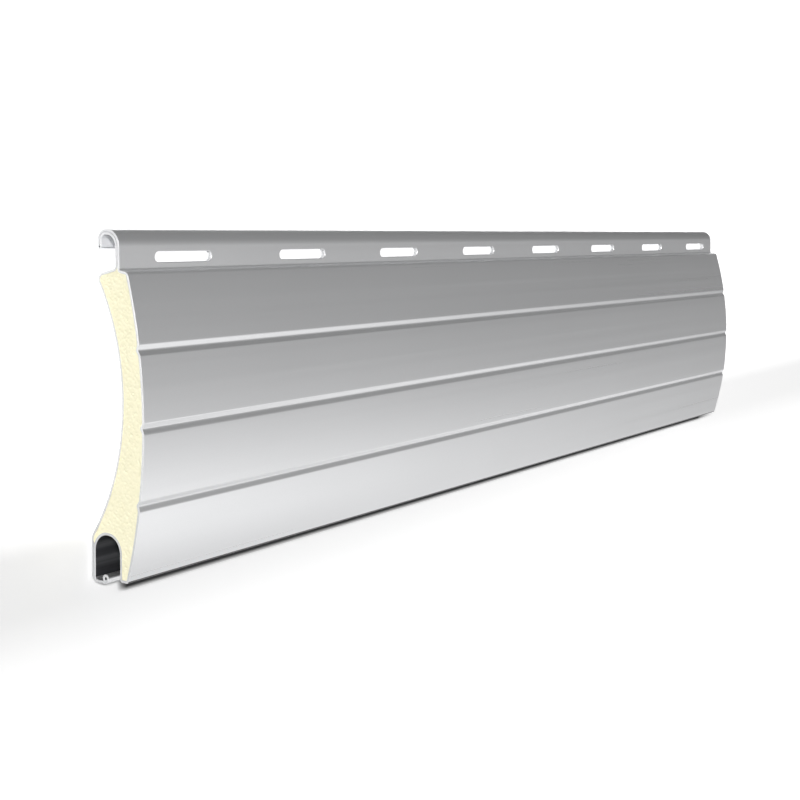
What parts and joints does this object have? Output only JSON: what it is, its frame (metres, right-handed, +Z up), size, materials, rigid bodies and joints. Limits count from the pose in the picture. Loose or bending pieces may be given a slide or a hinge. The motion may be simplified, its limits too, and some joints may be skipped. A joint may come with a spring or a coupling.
{
  "type": "roller shutter slat",
  "caption": "Cut sample of a foam-filled roller shutter slat: bulging grooved face, hollow rear face, a slotted hook along one edge and a pocket with a beaded lip along the other.",
  "frame": {"origin": "middle of the slat's length and width, on the floor that it lies on", "axes": "+X along the slat, +Y from the pocket towards the hook, +Z up, out of the bulging outer face"},
  "size_m": [0.266, 0.062, 0.0125],
  "materials": {
    "coated_aluminium": "satin",
    "foam": "matte"
  },
  "bodies": {
    "root": {"rolled_skin": "coated_aluminium", "foam_core": "foam"}
  },
  "joints": []
}
